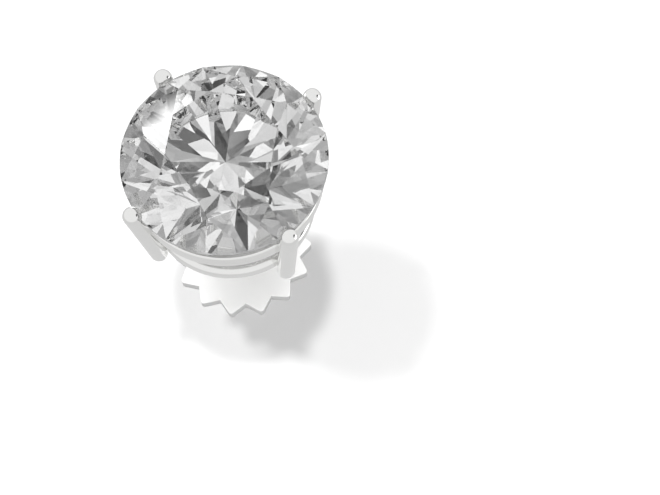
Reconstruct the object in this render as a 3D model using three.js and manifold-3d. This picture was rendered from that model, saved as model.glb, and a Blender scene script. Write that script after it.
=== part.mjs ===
// Solitaire stud earring: a round brilliant stone in a four-prong basket, whose post runs down
// through a toothed back. Millimetres, +Z up. The origin is on the surface that the back stands
// on, under the post's axis. The prongs are on the diagonals, and a notch of the back faces +X.
import * as THREE from "three";
import { ConvexGeometry } from "three/addons/geometries/ConvexGeometry.js";
import { mergeVertices } from "three/addons/utils/BufferGeometryUtils.js";
import Module from "manifold-3d";

const wasm = await Module();
wasm.setup();

// Stone
const STONE_R = 4.05; // girdle radius
const GIRDLE_Z = 15; // height of the girdle's middle
const GIRDLE_THICK = 0.2; // at its thickest, where the main facets reach it
const GIRDLE_SIDES = 96;
const TABLE_R = 0.535 * STONE_R; // to a corner of the table
const CROWN_ANGLE = 35; // of the crown's main facets, in degrees
const STAR_SHARE = 0.5; // how far a star facet reaches from the table to the girdle
const PAVILION_ANGLE = 40.7; // of the pavilion's main facets, in degrees
const LOWER_HALF_SHARE = 0.78; // how far a lower half facet reaches from the girdle to the culet
const MAINS = 8; // main facets on each side

// Basket. Heights and radii of a prong are of the centres of its round ends.
const PRONG_AZIMUTHS = [45, 135, 225, 315];
const PRONG_WIRE_R = 0.375;
const PRONG_HEAD = { r: 4.24, z: GIRDLE_Z + 0.14 };
const PRONG_FOOT = { r: 3.8, z: 10.58 };
const PRONG_SIDES = 20;
const PRONG_DOME_ROWS = 5;
const UPPER_RING = { inner: 3.24, outer: 3.88, bottom: 13.2, top: 13.98 };
const LOWER_RING = { inner: 2.84, outer: 3.52, bottom: 10.6, top: 11.35 };
const RING_CHAMFER = 0.06;
const RING_SIDES = 72;
const SEAT_GAP = 0.03; // between the stone and the metal that is cut to seat it

// Cross bars, collar and post
const BAR_WIDTH = 0.9;
const BAR_BOTTOM = 10.66;
const BAR_TOP = 11.16;
const COLLAR_R = 0.9;
const COLLAR_BOTTOM = 10.2;
const POST_R = 0.45;
const POST_BOTTOM = 0.3;
const POST_CHAMFER = 0.15;
const POST_SIDES = 32;

// Toothed back
const TEETH = 14;
const TOOTH_TIP_R = 3.24;
const TOOTH_ROOT_R = 2.73;
const TOOTH_TIP_ROUND = 0.16; // radius of a tooth's rounded point
const TOOTH_TIP_STEPS = 4;
const FLANGE_TOP = 5.1;
const FLANGE_THICK = 0.57;
const BARREL_R = 1.3;
const BARREL_CHAMFER = 0.08;
const BARREL_SIDES = 48;
const BORE_R = 0.5;

const LAP = 0.05; // how far joined shapes run into each other, and a cutter past a face

const PLATINUM_WHITE = { color: 0xe4e4e2, roughness: 0.12, metalness: 1 };
const CLEAR_STONE = { color: 0xf4f6f7, roughness: 0.02, metalness: 0 };

// The solid of revolution about Z of an outline of [radius, height] rows. The outline starts and
// ends on the axis or closes on itself, and runs upwards along its outer side.
function turned(outline, sides) {
  const profile = outline.map(([radius, height]) => new THREE.Vector2(radius, height));
  return new THREE.LatheGeometry(profile, sides).rotateX(Math.PI / 2);
}

function toManifold(geometry) {
  const bare = geometry.clone();
  bare.deleteAttribute("normal");
  bare.deleteAttribute("uv");
  const merged = mergeVertices(bare);
  const vertProperties = new Float32Array(merged.attributes.position.array);
  const triVerts = new Uint32Array(merged.index.array);
  return new wasm.Manifold(new wasm.Mesh({ numProp: 3, vertProperties, triVerts }));
}

function toGeometry(manifold) {
  const { vertProperties, triVerts } = manifold.getMesh();
  const geometry = new THREE.BufferGeometry();
  geometry.setAttribute("position", new THREE.BufferAttribute(vertProperties, 3));
  geometry.setIndex(new THREE.BufferAttribute(triVerts, 1));
  geometry.computeVertexNormals();
  return geometry;
}

function subPart(name, geometry, look) {
  const mesh = new THREE.Mesh(geometry, new THREE.MeshStandardMaterial(look));
  mesh.name = name;
  return mesh;
}

// Points at equal steps round the axis. The first is at the azimuth first, in degrees, and
// height gives each one's height from its azimuth in radians.
function ringOfPoints(count, first, radius, height) {
  return Array.from({ length: count }, (_, step) => {
    const azimuth = THREE.MathUtils.degToRad(first) + (2 * Math.PI * step) / count;
    return new THREE.Vector3(radius * Math.cos(azimuth), radius * Math.sin(azimuth), height(azimuth));
  });
}

// The corners of one side of the stone, as heights above the girdle's middle. Main facets face
// every second of 16 azimuths, and slope from the girdle at mainAngle. A shoulder is where two of
// them meet the pair of half facets that cut their shared edge away down to the girdle. The half
// facets face midway between mains and shoulders, so that they scallop the girdle's edge.
function stoneSide(mainAngle, shoulderR) {
  const edge = GIRDLE_THICK / 2;
  const mainSlope = Math.tan(THREE.MathUtils.degToRad(mainAngle));
  const mainHeight = (radius) => edge + (STONE_R - radius) * mainSlope;
  const mainToShoulder = Math.PI / MAINS;
  const mainToHalf = mainToShoulder / 2;
  const shoulderHeight = mainHeight(shoulderR * Math.cos(mainToShoulder));
  const halfSlope = (shoulderHeight - edge) / ((STONE_R - shoulderR) * Math.cos(mainToHalf));
  const girdleHeight = (azimuth) => {
    const fromHalf = (azimuth % mainToShoulder) - mainToHalf;
    return edge - STONE_R * (Math.cos(fromHalf) - Math.cos(mainToHalf)) * halfSlope;
  };
  const girdle = ringOfPoints(GIRDLE_SIDES, 0, STONE_R, girdleHeight);
  const shoulders = ringOfPoints(MAINS, 0, shoulderR, () => shoulderHeight);
  return { corners: [...girdle, ...shoulders], mainHeight };
}

function brilliantStone() {
  const tableEdgeR = TABLE_R * Math.cos(Math.PI / MAINS);
  const crown = stoneSide(CROWN_ANGLE, tableEdgeR + STAR_SHARE * (STONE_R - tableEdgeR));
  const table = ringOfPoints(MAINS, 180 / MAINS, TABLE_R, () => crown.mainHeight(TABLE_R));
  const pavilion = stoneSide(PAVILION_ANGLE, STONE_R * (1 - LOWER_HALF_SHARE));
  const culet = new THREE.Vector3(0, 0, pavilion.mainHeight(0));
  const below = [...pavilion.corners, culet].map((point) => point.setZ(-point.z));
  return new ConvexGeometry([...crown.corners, ...table, ...below]);
}

// A straight round wire with round ends, between its ends' centres in the XZ plane.
function prong(foot, head) {
  const from = new THREE.Vector3(foot.r, 0, foot.z);
  const to = new THREE.Vector3(head.r, 0, head.z);
  const along = to.clone().sub(from);
  const wire = new THREE.CapsuleGeometry(PRONG_WIRE_R, along.length(), PRONG_DOME_ROWS, PRONG_SIDES);
  const turn = new THREE.Quaternion().setFromUnitVectors(new THREE.Vector3(0, 1, 0), along.normalize());
  const middle = from.add(to).divideScalar(2);
  return wire.applyQuaternion(turn).translate(middle.x, middle.y, middle.z);
}

function galleryRing({ inner, outer, bottom, top }) {
  const outline = [
    [inner, bottom],
    [outer - RING_CHAMFER, bottom],
    [outer, bottom + RING_CHAMFER],
    [outer, top - RING_CHAMFER],
    [outer - RING_CHAMFER, top],
    [inner, top],
    [inner, bottom],
  ];
  return turned(outline, RING_SIDES);
}

// Post, and the collar that carries it under the cross bars.
function post() {
  const outline = [
    [0, POST_BOTTOM],
    [POST_R - POST_CHAMFER, POST_BOTTOM],
    [POST_R, POST_BOTTOM + POST_CHAMFER],
    [POST_R, COLLAR_BOTTOM],
    [COLLAR_R, BAR_BOTTOM + LAP],
    [0, BAR_BOTTOM + LAP],
  ];
  return turned(outline, POST_SIDES);
}

function crossBar(azimuth) {
  const length = LOWER_RING.inner + LOWER_RING.outer;
  const bar = new THREE.BoxGeometry(length, BAR_WIDTH, BAR_TOP - BAR_BOTTOM);
  return bar.translate(0, 0, (BAR_TOP + BAR_BOTTOM) / 2).rotateZ(THREE.MathUtils.degToRad(azimuth));
}

// All the soldered metal above the back, cut away where the stone sits in it.
function prongSetting(stone) {
  const wires = PRONG_AZIMUTHS.map((azimuth) =>
    prong(PRONG_FOOT, PRONG_HEAD).rotateZ(THREE.MathUtils.degToRad(azimuth)),
  );
  const bars = PRONG_AZIMUTHS.slice(0, 2).map(crossBar);
  const pieces = [...wires, ...bars, galleryRing(UPPER_RING), galleryRing(LOWER_RING), post()];
  const metal = pieces.map(toManifold).reduce((joined, piece) => joined.add(piece));
  const grown = 1 + SEAT_GAP / STONE_R;
  const seat = stone.clone().scale(grown, grown, grown).translate(0, 0, GIRDLE_Z);
  return toGeometry(metal.subtract(toManifold(seat)));
}

// Outline of the flange: straight flanks from sharp roots, each pair tangent to a round tip.
function toothedOutline() {
  const halfPitch = Math.PI / TEETH;
  const tipR = TOOTH_TIP_R - TOOTH_TIP_ROUND;
  const rootFromTip = new THREE.Vector2(
    TOOTH_ROOT_R * Math.cos(halfPitch) - tipR,
    TOOTH_ROOT_R * Math.sin(halfPitch),
  );
  const sweep = rootFromTip.angle() - Math.acos(TOOTH_TIP_ROUND / rootFromTip.length());
  const outline = new THREE.Shape();
  for (let tooth = 0; tooth < TEETH; tooth += 1) {
    const middle = (2 * tooth + 1) * halfPitch;
    const root = middle + halfPitch;
    const [x, y] = [tipR * Math.cos(middle), tipR * Math.sin(middle)];
    outline.absarc(x, y, TOOTH_TIP_ROUND, middle - sweep, middle + sweep);
    outline.lineTo(TOOTH_ROOT_R * Math.cos(root), TOOTH_ROOT_R * Math.sin(root));
  }
  return outline;
}

function toothedBack() {
  const flangeBottom = FLANGE_TOP - FLANGE_THICK;
  const options = { depth: FLANGE_THICK, bevelEnabled: false, curveSegments: TOOTH_TIP_STEPS };
  const flange = new THREE.ExtrudeGeometry(toothedOutline(), options).translate(0, 0, flangeBottom);
  const barrel = turned(
    [
      [0, 0],
      [BARREL_R - BARREL_CHAMFER, 0],
      [BARREL_R, BARREL_CHAMFER],
      [BARREL_R, flangeBottom + LAP],
      [0, flangeBottom + LAP],
    ],
    BARREL_SIDES,
  );
  const bore = turned(
    [
      [0, -LAP],
      [BORE_R, -LAP],
      [BORE_R, FLANGE_TOP + LAP],
      [0, FLANGE_TOP + LAP],
    ],
    POST_SIDES,
  );
  return toGeometry(toManifold(flange).add(toManifold(barrel)).subtract(toManifold(bore)));
}

const stone = brilliantStone();
const stoneMesh = subPart("brilliant_stone", stone, CLEAR_STONE);
stoneMesh.position.z = GIRDLE_Z;

const earring = new THREE.Group();
earring.add(
  stoneMesh,
  subPart("prong_setting", prongSetting(stone), PLATINUM_WHITE),
  subPart("toothed_back", toothedBack(), PLATINUM_WHITE),
);

export default earring;
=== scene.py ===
# The looks of a solitaire stud earring: a round brilliant in a four-prong basket, whose post runs
# down through a toothed back. Sizes are in millimetres until a piece is finished.
from math import acos, atan, atan2, cos, pi, radians, sin, tan

import bmesh
import bpy
from mathutils import Matrix, Vector


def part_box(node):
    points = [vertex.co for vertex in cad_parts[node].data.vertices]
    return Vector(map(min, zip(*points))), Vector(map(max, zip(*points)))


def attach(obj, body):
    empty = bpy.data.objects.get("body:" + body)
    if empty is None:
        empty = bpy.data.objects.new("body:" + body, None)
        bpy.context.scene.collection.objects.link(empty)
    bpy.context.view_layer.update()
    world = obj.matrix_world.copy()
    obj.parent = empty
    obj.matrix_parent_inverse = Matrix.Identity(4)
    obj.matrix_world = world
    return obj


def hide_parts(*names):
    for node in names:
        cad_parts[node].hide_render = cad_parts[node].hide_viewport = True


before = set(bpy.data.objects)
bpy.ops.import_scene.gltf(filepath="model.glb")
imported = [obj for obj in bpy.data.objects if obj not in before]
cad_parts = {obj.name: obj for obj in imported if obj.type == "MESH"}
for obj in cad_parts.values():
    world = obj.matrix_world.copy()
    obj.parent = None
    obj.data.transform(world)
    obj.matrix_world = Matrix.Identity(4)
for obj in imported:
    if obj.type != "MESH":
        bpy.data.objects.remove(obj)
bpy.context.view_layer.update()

MM = 0.001


def box_in_mm(node):
    low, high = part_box(node)
    return low / MM, high / MM


_, stone_high = box_in_mm("brilliant_stone")
setting_low, _ = box_in_mm("prong_setting")
_, back_high = box_in_mm("toothed_back")

# Stone
STONE_R = stone_high.x
TABLE_Z = stone_high.z
GIRDLE_THICK = 0.2
TABLE_R = 0.535 * STONE_R
CROWN_ANGLE = radians(35)
STAR_SHARE = 0.5
PAVILION_ANGLE = radians(40.7)
LOWER_HALF_SHARE = 0.78
MAINS = 8
BLANK_HEIGHT = 2.4 * STONE_R
GIRDLE_Z = TABLE_Z - GIRDLE_THICK / 2 - (STONE_R - TABLE_R) * tan(CROWN_ANGLE)

# Basket and post
WIRE_R = 0.375
# A prong's lower and upper ends, before it is turned to its azimuth
FOOT = Vector((3.8, 0, 10.58))
HEAD = Vector((4.24, 0, GIRDLE_Z + 0.14))
PRONG_AZIMUTHS = [radians(45 + 90 * turn) for turn in range(4)]
UPPER_RING = {"inner": 3.24, "outer": 3.88, "bottom": 13.2, "top": 13.98, "rounding": 0.12}
LOWER_RING = {"inner": 2.84, "outer": 3.52, "bottom": 10.6, "top": 11.35, "rounding": 0.3}
SEAT_GAP = 0.03
BAR_WIDTH = 0.9
BAR_BOTTOM = 10.66
BAR_TOP = 11.16
BAR_ROUND = 0.08
COLLAR_R = 0.9
COLLAR_BOTTOM = 10.2
POST_R = 0.45
POST_BOTTOM = setting_low.z
POST_ROUND = 0.15

# Toothed back
TEETH = 14
TIP_R = back_high.y
ROOT_R = 2.73
TIP_ROUND = 0.16
FLANGE_TOP = back_high.z
FLANGE_THICK = 0.57
FLANGE_EDGE = 0.03
BARREL_R = 1.3
BARREL_ROUND = 0.08
BORE_R = 0.5

# How far pieces run into each other before they are joined
LAP = 0.05
# Edges that turn by more than this stay crisp
SHARP = radians(28)
# Points this close are one point, and points this close to a grinding plane lie on it
MERGE = 1e-5
ON_PLANE = 1e-4

# How many sides the round pieces have, and how many steps their arcs
GIRDLE_SIDES = 192
RING_SIDES = 192
WIRE_SIDES = 48
POST_SIDES = 64
BARREL_SIDES = 96
DOME_STEPS = 10
CORNER_STEPS = 8
FLARE_STEPS = 8
POST_END_STEPS = 5
BARREL_END_STEPS = 4
TIP_STEPS = 6
EDGE_STEPS = 3


# --- Modelling -----------------------------------------------------------------------------


def add_object(name, bm):
    """The finished bmesh as an object, with its millimetres made metres."""
    bmesh.ops.scale(bm, vec=(MM, MM, MM), verts=bm.verts)
    mesh = bpy.data.meshes.new(name)
    bm.to_mesh(mesh)
    bm.free()
    piece = bpy.data.objects.new(name, mesh)
    bpy.context.scene.collection.objects.link(piece)
    return piece


def tidied(bm):
    bmesh.ops.remove_doubles(bm, verts=bm.verts, dist=MERGE)
    bmesh.ops.recalc_face_normals(bm, faces=bm.faces)
    return bm


def shade_by_angle(piece):
    """Smooth surfaces that break at sharp edges."""
    bm = bmesh.new()
    bm.from_mesh(piece.data)
    for face in bm.faces:
        face.smooth = True
    for edge in bm.edges:
        edge.smooth = len(edge.link_faces) == 2 and edge.calc_face_angle(pi) < SHARP
    bm.to_mesh(piece.data)
    bm.free()


def arc(centre, radius, start, end, steps):
    """(radius, height) points along an arc, with its angles in degrees from the outward direction."""
    turns = [radians(start + (end - start) * step / steps) for step in range(steps + 1)]
    return [(centre[0] + radius * cos(turn), centre[1] + radius * sin(turn)) for turn in turns]


def turned(profile, steps, closed=False):
    """A bmesh of the profile's (radius, height) points spun round the Z axis."""
    bm = bmesh.new()
    points = [bm.verts.new((radius, 0, height)) for radius, height in profile]
    ends = zip(points, points[1:] + points[:1] if closed else points[1:])
    edges = [bm.edges.new(pair) for pair in ends]
    bmesh.ops.spin(
        bm, geom=points + edges, axis=(0, 0, 1), angle=2 * pi, steps=steps, use_merge=True
    )
    return tidied(bm)


def rounded_ring(inner, outer, bottom, top, rounding):
    """A ring of rectangular section with all four of its edges rounded."""
    profile = arc((outer - rounding, bottom + rounding), rounding, -90, 0, CORNER_STEPS)
    profile += arc((outer - rounding, top - rounding), rounding, 0, 90, CORNER_STEPS)
    profile += arc((inner + rounding, top - rounding), rounding, 90, 180, CORNER_STEPS)
    profile += arc((inner + rounding, bottom + rounding), rounding, 180, 270, CORNER_STEPS)
    return turned(profile, RING_SIDES, closed=True)


def soften(bm, edges, width):
    """Rounds the edges over."""
    bmesh.ops.bevel(
        bm,
        geom=edges,
        offset=width,
        affect="EDGES",
        segments=EDGE_STEPS,
        profile=0.5,
        material=-1,
    )


def union(base, others, cutters=()):
    """Joins the others to the base as one solid, cuts the cutters out of it, and removes them all."""
    for operation, tools in (("UNION", others), ("DIFFERENCE", cutters)):
        for tool in tools:
            modifier = base.modifiers.new(tool.name, "BOOLEAN")
            modifier.operation = operation
            modifier.solver = "EXACT"
            modifier.object = tool
    bpy.context.view_layer.update()
    graph = bpy.context.evaluated_depsgraph_get()
    joined = bpy.data.meshes.new_from_object(base.evaluated_get(graph))
    base.modifiers.clear()
    base.data = joined
    for tool in [*others, *cutters]:
        bpy.data.objects.remove(tool)
    return base


# --- Stone ---------------------------------------------------------------------------------


def grind(bm, azimuth, slope, radius, height):
    """Takes away all above a plane that leans out by slope, and passes through that radius and height."""
    outward = Vector((cos(azimuth), sin(azimuth), 0))
    normal = outward * sin(slope) + Vector((0, 0, cos(slope)))
    cut = bmesh.ops.bisect_plane(
        bm,
        geom=[*bm.verts, *bm.edges, *bm.faces],
        dist=ON_PLANE,
        plane_co=outward * radius + Vector((0, 0, height)),
        plane_no=normal,
        clear_outer=True,
    )
    rim = [part for part in cut["geom_cut"] if isinstance(part, bmesh.types.BMEdge)]
    rim = [edge for edge in rim if edge.is_boundary]
    if rim:
        bmesh.ops.edgeloop_fill(bm, edges=rim)


def grind_side(bm, main_angle, shoulder_r):
    """Cuts the mains and the half facets between them and the girdle. Returns a shoulder's height."""
    half_turn = pi / MAINS
    quarter = half_turn / 2
    edge = GIRDLE_THICK / 2
    shoulder_z = edge + (STONE_R - shoulder_r * cos(half_turn)) * tan(main_angle)
    half_angle = atan((shoulder_z - edge) / ((STONE_R - shoulder_r) * cos(quarter)))
    for main in range(MAINS):
        azimuth = (2 * main + 1) * half_turn
        grind(bm, azimuth, main_angle, STONE_R, edge)
    for half in range(2 * MAINS):
        azimuth = (2 * half + 1) * quarter
        grind(bm, azimuth, half_angle, STONE_R * cos(quarter), edge)
    return shoulder_z


def stone_mesh(grown=1.0):
    """The brilliant, or a grown copy of it: a round blank, ground facet by facet on both sides."""
    bm = bmesh.new()
    bmesh.ops.create_cone(
        bm,
        cap_ends=True,
        segments=GIRDLE_SIDES,
        radius1=STONE_R,
        radius2=STONE_R,
        depth=BLANK_HEIGHT,
    )
    table_edge = TABLE_R * cos(pi / MAINS)
    star_r = table_edge + STAR_SHARE * (STONE_R - table_edge)
    star_z = grind_side(bm, CROWN_ANGLE, star_r)
    table_z = TABLE_Z - GIRDLE_Z
    star_angle = atan((table_z - star_z) / (star_r - table_edge))
    for star in range(MAINS):
        grind(bm, 2 * pi * star / MAINS, star_angle, star_r, star_z)
    grind(bm, 0, 0, 0, table_z)
    over = Matrix.Rotation(pi, 3, "X")
    bmesh.ops.rotate(bm, matrix=over, verts=bm.verts)
    grind_side(bm, PAVILION_ANGLE, STONE_R * (1 - LOWER_HALF_SHARE))
    bmesh.ops.rotate(bm, matrix=over, verts=bm.verts)
    bmesh.ops.scale(bm, vec=(grown,) * 3, verts=bm.verts)
    bmesh.ops.translate(bm, vec=(0, 0, GIRDLE_Z), verts=bm.verts)
    return tidied(bm)


# --- Basket and post -----------------------------------------------------------------------


def prong(name, azimuth):
    """A round wire with domed ends, from FOOT up to HEAD, turned to its azimuth."""
    along = HEAD - FOOT
    profile = arc((0, 0), WIRE_R, -90, 0, DOME_STEPS)
    profile += arc((0, along.length), WIRE_R, 0, 90, DOME_STEPS)
    bm = turned(profile, WIRE_SIDES)
    lean = along.to_track_quat("Z", "Y").to_matrix()
    bmesh.ops.rotate(bm, matrix=lean, verts=bm.verts)
    bmesh.ops.translate(bm, vec=FOOT, verts=bm.verts)
    bmesh.ops.rotate(bm, matrix=Matrix.Rotation(azimuth, 3, "Z"), verts=bm.verts)
    return add_object(name, bm)


def cross_bar(name, azimuth):
    bm = bmesh.new()
    bmesh.ops.create_cube(bm, size=1)
    length = LOWER_RING["inner"] + LOWER_RING["outer"]
    bmesh.ops.scale(bm, vec=(length, BAR_WIDTH, BAR_TOP - BAR_BOTTOM), verts=bm.verts)
    soften(bm, bm.edges, BAR_ROUND)
    bmesh.ops.translate(bm, vec=(0, 0, (BAR_TOP + BAR_BOTTOM) / 2), verts=bm.verts)
    bmesh.ops.rotate(bm, matrix=Matrix.Rotation(azimuth, 3, "Z"), verts=bm.verts)
    return add_object(name, bm)


def post():
    """The post with its rounded end, and the flared collar that carries it under the bars."""
    flare = COLLAR_R - POST_R
    profile = [(0, POST_BOTTOM)]
    end = (POST_R - POST_ROUND, POST_BOTTOM + POST_ROUND)
    profile += arc(end, POST_ROUND, -90, 0, POST_END_STEPS)
    profile += arc((COLLAR_R, COLLAR_BOTTOM), flare, 180, 90, FLARE_STEPS)
    profile += [(COLLAR_R, BAR_TOP - LAP), (0, BAR_TOP - LAP)]
    return add_object("post", turned(profile, POST_SIDES))


def make_setting():
    """All the metal above the back as one solid, with the stone's seat cut out of it."""
    seat = add_object("seat", stone_mesh(1 + SEAT_GAP / STONE_R))
    prongs = [prong(f"prong_{i + 1}", turn) for i, turn in enumerate(PRONG_AZIMUTHS)]
    rings = [
        add_object(name, rounded_ring(**ring))
        for name, ring in (("upper_ring", UPPER_RING), ("lower_ring", LOWER_RING))
    ]
    bars = [cross_bar(f"bar_{i + 1}", turn) for i, turn in enumerate(PRONG_AZIMUTHS[:2])]
    setting = union(post(), [*bars, *rings, *prongs], [seat])
    setting.name = "basket_and_post"
    shade_by_angle(setting)
    return setting


# --- Back ----------------------------------------------------------------------------------


def toothed_flange():
    """A plate with pointed teeth, each rounded at its tip, and all its edges softly broken."""
    half_pitch = pi / TEETH
    centre_r = TIP_R - TIP_ROUND
    root = Vector((ROOT_R * cos(half_pitch), ROOT_R * sin(half_pitch)))
    from_centre = root - Vector((centre_r, 0))
    sweep = atan2(from_centre.y, from_centre.x) - acos(TIP_ROUND / from_centre.length)
    point_r = centre_r + TIP_ROUND / cos(sweep)
    bm = bmesh.new()
    corners = bmesh.ops.create_circle(bm, cap_ends=True, segments=2 * TEETH, radius=1)["verts"]
    first = corners[0].co.copy()
    tips = []
    for corner in corners:
        turn = round((atan2(corner.co.y, corner.co.x) - atan2(first.y, first.x)) / half_pitch)
        is_tip = turn % 2 == 1
        azimuth = turn * half_pitch
        radius = point_r if is_tip else ROOT_R
        corner.co = Vector((radius * cos(azimuth), radius * sin(azimuth), FLANGE_TOP))
        if is_tip:
            tips.append(corner)
    bmesh.ops.bevel(
        bm,
        geom=tips,
        offset=TIP_ROUND * tan(sweep),
        affect="VERTICES",
        segments=TIP_STEPS,
        profile=0.5,
        material=-1,
    )
    lifted = bmesh.ops.extrude_face_region(bm, geom=bm.faces[:])["geom"]
    lowered = [part for part in lifted if isinstance(part, bmesh.types.BMVert)]
    bmesh.ops.translate(bm, vec=(0, 0, -FLANGE_THICK), verts=lowered)
    bmesh.ops.recalc_face_normals(bm, faces=bm.faces)
    rims = [edge for edge in bm.edges if abs(edge.verts[0].co.z - edge.verts[1].co.z) < MERGE]
    soften(bm, rims, FLANGE_EDGE)
    return add_object("flange", bm)


def make_back():
    """The toothed flange on its barrel, bored through."""
    top = FLANGE_TOP - FLANGE_THICK + LAP
    profile = [(0, 0)]
    end = (BARREL_R - BARREL_ROUND, BARREL_ROUND)
    profile += arc(end, BARREL_ROUND, -90, 0, BARREL_END_STEPS)
    profile += [(BARREL_R, top), (0, top)]
    barrel = add_object("barrel", turned(profile, BARREL_SIDES))
    hole = [(0, -LAP), (BORE_R, -LAP), (BORE_R, FLANGE_TOP + LAP), (0, FLANGE_TOP + LAP)]
    bore = add_object("bore", turned(hole, POST_SIDES))
    back = union(toothed_flange(), [barrel], [bore])
    back.name = "back"
    shade_by_angle(back)
    return back


# --- Materials -----------------------------------------------------------------------------


class Field:
    """A number or colour that varies: one output socket, with the arithmetic that materials use."""

    def __init__(self, nodes, socket):
        self.nodes = nodes
        self.socket = socket

    def math(self, operation, *others):
        return self.nodes.add("ShaderNodeMath", {"operation": operation}, self, *others)

    def __add__(self, other):
        return self.math("ADD", other)

    def __sub__(self, other):
        return self.math("SUBTRACT", other)

    def __rsub__(self, other):
        return self * -1 + other

    def __mul__(self, other):
        return self.math("MULTIPLY", other)

    __radd__ = __add__
    __rmul__ = __mul__


class Nodes:
    """The nodes of a material or a world, and the one way of adding to them."""

    def __init__(self, owner):
        owner.use_nodes = True
        self.owner = owner
        self.tree = owner.node_tree

    def put(self, value, socket):
        if isinstance(value, Field):
            self.tree.links.new(value.socket, socket)
        else:
            socket.default_value = value

    def add(self, kind, settings, *values, output=0, **named):
        """A node of any kind: its settings first, then its sockets' values, in order or by name."""
        made = self.tree.nodes.new(kind)
        for setting, value in settings.items():
            setattr(made, setting, value)
        for value, socket in zip(values, made.inputs):
            self.put(value, socket)
        for name, value in named.items():
            self.put(value, made.inputs[name.replace("_", " ")])
        return Field(self, made.outputs[output])

    def step(self, value, start, end, low=0.0, high=1.0):
        """Low up to the start, high past the end, and a soft change between them."""
        return self.add(
            "ShaderNodeMapRange", {"interpolation_type": "SMOOTHSTEP"}, value, start, end, low, high
        )


class Paint(Nodes):
    """A material of one Principled shader, whose constants are set on the shader itself."""

    def __init__(self, name, **constants):
        super().__init__(bpy.data.materials.new(name))
        self.shader = self.tree.nodes["Principled BSDF"]
        self.feed(**constants)
        self.place = self.add("ShaderNodeTexCoord", {}, output="Object")

    def feed(self, **fields):
        for name, value in fields.items():
            self.put(value, self.shader.inputs[name.replace("_", " ")])

    def noise(self, scale):
        """Cloudiness from 0 to 1, with so many clouds to a metre."""
        return self.add("ShaderNodeTexNoise", {}, Vector=self.place, Scale=scale)

    def radius(self):
        """The distance from the earring's axis."""
        flat = self.add(
            "ShaderNodeVectorMath", {"operation": "MULTIPLY"}, self.place, (1, 1, 0)
        )
        return self.add("ShaderNodeVectorMath", {"operation": "LENGTH"}, flat, output="Value")

    def tint(self, colour, level):
        """The colour, made darker or lighter all over by a varying level."""
        return self.add("ShaderNodeVectorMath", {"operation": "SCALE"}, colour, Scale=level)

    def bump(self, height, strength, depth):
        """The surface's direction, once it rises and falls with the height by up to the depth."""
        return self.add("ShaderNodeBump", {}, Strength=strength, Distance=depth * MM, Height=height)


# The stone is polished out to one radius and ground from the other, with a soft change between
POLISHED_TO = 0.994 * STONE_R
GROUND_FROM = 0.998 * STONE_R
GROUND_ROUGHNESS = 0.25
DIAMOND_INDEX = 2.417

POLISHED_METAL = (0.9, 0.9, 0.89)
# The back's colour: the same metal as the basket, painted lighter to stand in for the bright reflection
# on its flange
BACK_METAL_PAINTED_LIGHTER = (0.97, 0.97, 0.965)
SCRATCH_DEPTH = 0.01
RING_PITCH = 0.09


def stone_look():
    """A clear, flawless stone with a girdle that is ground but not polished."""
    paint = Paint("cut_stone", Base_Color=(1, 1, 1, 1), IOR=DIAMOND_INDEX, Transmission_Weight=1.0)
    ground = paint.step(paint.radius(), POLISHED_TO * MM, GROUND_FROM * MM, 0, GROUND_ROUGHNESS)
    paint.feed(Roughness=ground)
    return paint.owner


def metal_look(name):
    """Polished precious metal, with the faint unevenness that a polishing mop leaves."""
    paint = Paint(name, Metallic=1.0)
    cloudy = paint.noise(700.0)
    fine = paint.noise(6000.0)
    paint.feed(Base_Color=paint.tint(POLISHED_METAL, 1 - cloudy * 0.04))
    paint.feed(Roughness=0.07 + cloudy * 0.06 + fine * 0.03)
    paint.feed(Normal=paint.bump(fine, 0.04, SCRATCH_DEPTH))
    return paint.owner


def back_look(name):
    """The same metal left softer by a fine tumbling, with turning rings round the bore, and its colour
    painted lighter than the basket's to stand in for the bright reflection on the flange.
    """
    paint = Paint(name, Metallic=0.75)
    cloudy = paint.noise(500.0)
    fine = paint.noise(5000.0)
    rings = (paint.radius() * (2 * pi / (RING_PITCH * MM))).math("SINE")
    # Painted lightness: this lighter colour stands in for the flange's bright reflection, not for a real
    # difference in the metal
    paint.feed(Base_Color=paint.tint(BACK_METAL_PAINTED_LIGHTER, 1 - cloudy * 0.05))
    paint.feed(Roughness=0.28 + cloudy * 0.08 + fine * 0.04)
    paint.feed(Normal=paint.bump(rings * 0.3 + fine, 0.12, SCRATCH_DEPTH))
    return paint.owner


def dress(piece, material, body, slot, *nodes):
    piece.data.materials.clear()
    piece.data.materials.append(material)
    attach(piece, body)
    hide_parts(*nodes)


# --- Studio --------------------------------------------------------------------------------

FLOOR_R = 900
FLOOR_COLOUR = (0.93, 0.93, 0.93, 1)
LAMP_DISTANCE = 500
BOUNCES = 24
ROOM = 0.69
# Surrounds go from their lower to their upper brightness between these heights, on a sphere of 1
DUSK = (-0.25, 0.0)

# How far from its middle, in degrees, a round panel starts to fade, and where it ends
WIDE = (9, 18)
MIDDLING = (5, 11)
SMALL = (2, 7)

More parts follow.
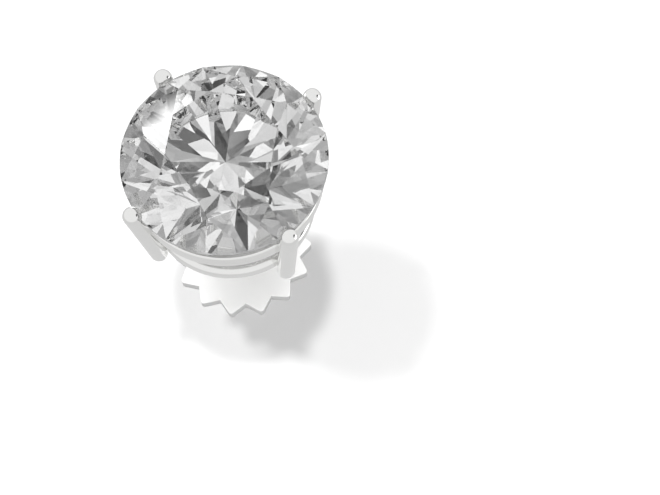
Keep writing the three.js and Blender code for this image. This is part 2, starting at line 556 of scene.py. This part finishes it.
# Each row is a panel: its middle's azimuth and elevation, its size, and how much it adds to the
# brightness. The stone's panels were found by a fit, so they follow no pattern.
METAL_PANELS = [(10, 22, (14, 17), -0.86), (8, 1, (17, 19), 1.3)]
SHEEN_PANELS = [(143.5, 15.5, (18.0, 19.2), 4.5), (84, -16, (5, 8), 2.0)]
STONE_PANELS = [
    (60, 76, WIDE, 0.71),
    (294, 40, WIDE, 0.55),
    (300, 58, SMALL, -0.75),
    (23, 14, MIDDLING, -1.06),
    (220, 76, WIDE, -0.38),
    (345, 22, WIDE, 0.54),
    (300, 76, MIDDLING, -0.37),
    (348, 68, WIDE, 0.35),
    (215, 50, WIDE, -0.33),
    (35, 50, WIDE, 0.71),
    (270, 50, SMALL, 0.57),
    (104, 50, WIDE, 0.39),
    (318, 40, MIDDLING, 0.39),
    (150, 40, WIDE, 0.47),
    (317, 58, SMALL, 0.34),
    (204, 68, SMALL, -0.36),
    (180, 86, SMALL, 0.38),
    (300, 86, SMALL, -0.35),
    (163, 58, MIDDLING, -0.33),
    (300, 68, SMALL, -0.26),
    (246, 40, WIDE, -0.20),
    (283, 58, SMALL, -0.34),
    (198, 40, SMALL, -0.39),
    (353, 50, WIDE, -0.18),
]


def make_floor():
    bm = bmesh.new()
    bmesh.ops.create_circle(bm, cap_ends=True, segments=64, radius=FLOOR_R)
    floor = add_object("floor", bm)
    paint = Paint("pale_floor", Base_Color=FLOOR_COLOUR, Roughness=0.22)
    floor.data.materials.append(paint.owner)
    floor.visible_glossy = False
    floor.visible_transmission = False


def make_camera():
    """A camera above and in front of the earring, a little to its right."""
    yaw = radians(7.47)
    elevation = radians(68.92)
    roll = radians(0.62)
    side, away, above = 1.0195 * STONE_R, 4.546 * STONE_R, 9.418 * STONE_R
    turn = Matrix.Rotation(yaw, 4, "Z")
    place = turn @ Vector((side, -away, 0)) + Vector((0, 0, GIRDLE_Z + above))
    data = bpy.data.cameras.new("camera")
    data.sensor_width = 36
    data.lens = 59.38
    data.clip_start = 0.002
    data.clip_end = 10
    camera = bpy.data.objects.new("camera", data)
    bpy.context.scene.collection.objects.link(camera)
    tilt = Matrix.Rotation(pi / 2 - elevation, 4, "X")
    aim = turn @ tilt @ Matrix.Rotation(roll, 4, "Z")
    camera.matrix_world = Matrix.Translation(place * MM) @ aim
    bpy.context.scene.camera = camera


def toward(azimuth, elevation):
    """The direction, one unit long, with that azimuth and elevation in degrees."""
    azimuth, elevation = radians(azimuth), radians(elevation)
    flat = cos(elevation)
    return Vector((flat * cos(azimuth), flat * sin(azimuth), sin(elevation)))


def panelled(nodes, direction, level, panels):
    """Adds soft-edged round panels, lighter or darker, to the level of light from each direction."""
    for azimuth, elevation, (inner, outer), change in panels:
        facing = nodes.add(
            "ShaderNodeVectorMath",
            {"operation": "DOT_PRODUCT"},
            direction,
            toward(azimuth, elevation),
            output="Value",
        )
        level = level + nodes.step(facing, cos(radians(outer)), cos(radians(inner))) * change
    return level.math("MAXIMUM", 0.0)


def make_world():
    """The plain pale room behind the earring, which lights the floor."""
    world = Nodes(bpy.data.worlds.new("studio"))
    bpy.context.scene.world = world.owner
    background = world.tree.nodes["Background"]
    world.put(ROOM, background.inputs["Strength"])
    world.put((1, 1, 1, 1), background.inputs["Color"])
    world.owner.cycles_visibility.glossy = False
    world.owner.cycles_visibility.transmission = False


def make_surround(name, radius, above, below, panels, rays, pieces=()):
    """A clear shell that glows on all sides, seen only by some rays, and by some pieces if named."""
    bm = bmesh.new()
    bmesh.ops.create_icosphere(bm, subdivisions=4, radius=radius)
    shell = add_object(name, bm)
    glow = Nodes(bpy.data.materials.new(name))
    place = glow.add("ShaderNodeTexCoord", {}, output="Object")
    direction = glow.add("ShaderNodeVectorMath", {"operation": "NORMALIZE"}, place)
    height = glow.add("ShaderNodeSeparateXYZ", {}, direction, output="Z")
    level = panelled(glow, direction, glow.step(height, *DUSK, below, above), panels)
    light = glow.add("ShaderNodeEmission", {}, Strength=level)
    clear = glow.add("ShaderNodeBsdfTransparent", {})
    both = glow.add("ShaderNodeAddShader", {}, light, clear)
    glow.put(both, glow.tree.nodes["Material Output"].inputs["Surface"])
    shell.data.materials.append(glow.owner)
    shell.location.z = GIRDLE_Z * MM
    if pieces:
        lit = bpy.data.collections.new(name)
        for piece in pieces:
            lit.objects.link(piece)
        shell.light_linking.receiver_collection = lit
    shell.visible_camera = False
    shell.visible_diffuse = "diffuse" in rays
    shell.visible_glossy = "glossy" in rays
    shell.visible_transmission = "transmission" in rays
    shell.visible_shadow = False


def soft_box(name, azimuth, elevation, width, brightness):
    """A square lamp that faces the earring, as bright as a surround of the same brightness."""
    data = bpy.data.lights.new(name, "AREA")
    data.shape = "SQUARE"
    data.size = width * MM
    data.energy = brightness * pi * data.size**2
    lamp = bpy.data.objects.new(name, data)
    bpy.context.scene.collection.objects.link(lamp)
    yaw = Matrix.Rotation(radians(azimuth + 90), 4, "Z")
    tilt = Matrix.Rotation(radians(90 - elevation), 4, "X")
    out = Matrix.Translation((0, 0, LAMP_DISTANCE * MM))
    lamp.matrix_world = Matrix.Translation((0, 0, GIRDLE_Z * MM)) @ yaw @ tilt @ out
    lamp.visible_camera = False
    lamp.visible_glossy = False
    lamp.visible_transmission = False


def set_rendering(scene):
    scene.view_settings.view_transform = "Standard"
    scene.cycles.max_bounces = BOUNCES
    scene.cycles.glossy_bounces = BOUNCES
    scene.cycles.transmission_bounces = BOUNCES


make_camera()
make_floor()
make_world()
soft_box("overhead", azimuth=135, elevation=89.2, width=30, brightness=330)
soft_box("from_behind", azimuth=175, elevation=68, width=60, brightness=80)
set_rendering(bpy.context.scene)

stone = add_object("stone", stone_mesh())
dress(stone, stone_look(), "head", "stone", "brilliant_stone")
setting = make_setting()
dress(setting, metal_look("setting_metal"), "head", "setting_metal", "prong_setting")
back = make_back()
dress(back, back_look("back_metal"), "back", "back_metal", "toothed_back")

# Every surround has a radius of its own, because rays miss one of two shells that coincide
make_surround(
    "stone_surround", radius=2000, above=0.46, below=0.50, panels=STONE_PANELS, rays=["transmission"]
)
make_surround(
    "stone_sheen",
    radius=2100,
    above=0.22,
    below=0.22,
    panels=SHEEN_PANELS,
    rays=["glossy"],
    pieces=[stone],
)
make_surround(
    "metal_surround",
    radius=2200,
    above=0.9,
    below=0.7,
    panels=METAL_PANELS,
    rays=["glossy"],
    pieces=[setting],
)
make_surround(
    "back_surround",
    radius=2300,
    above=1.08,
    below=0.3,
    panels=[],
    rays=["glossy", "diffuse"],
    pieces=[back],
)
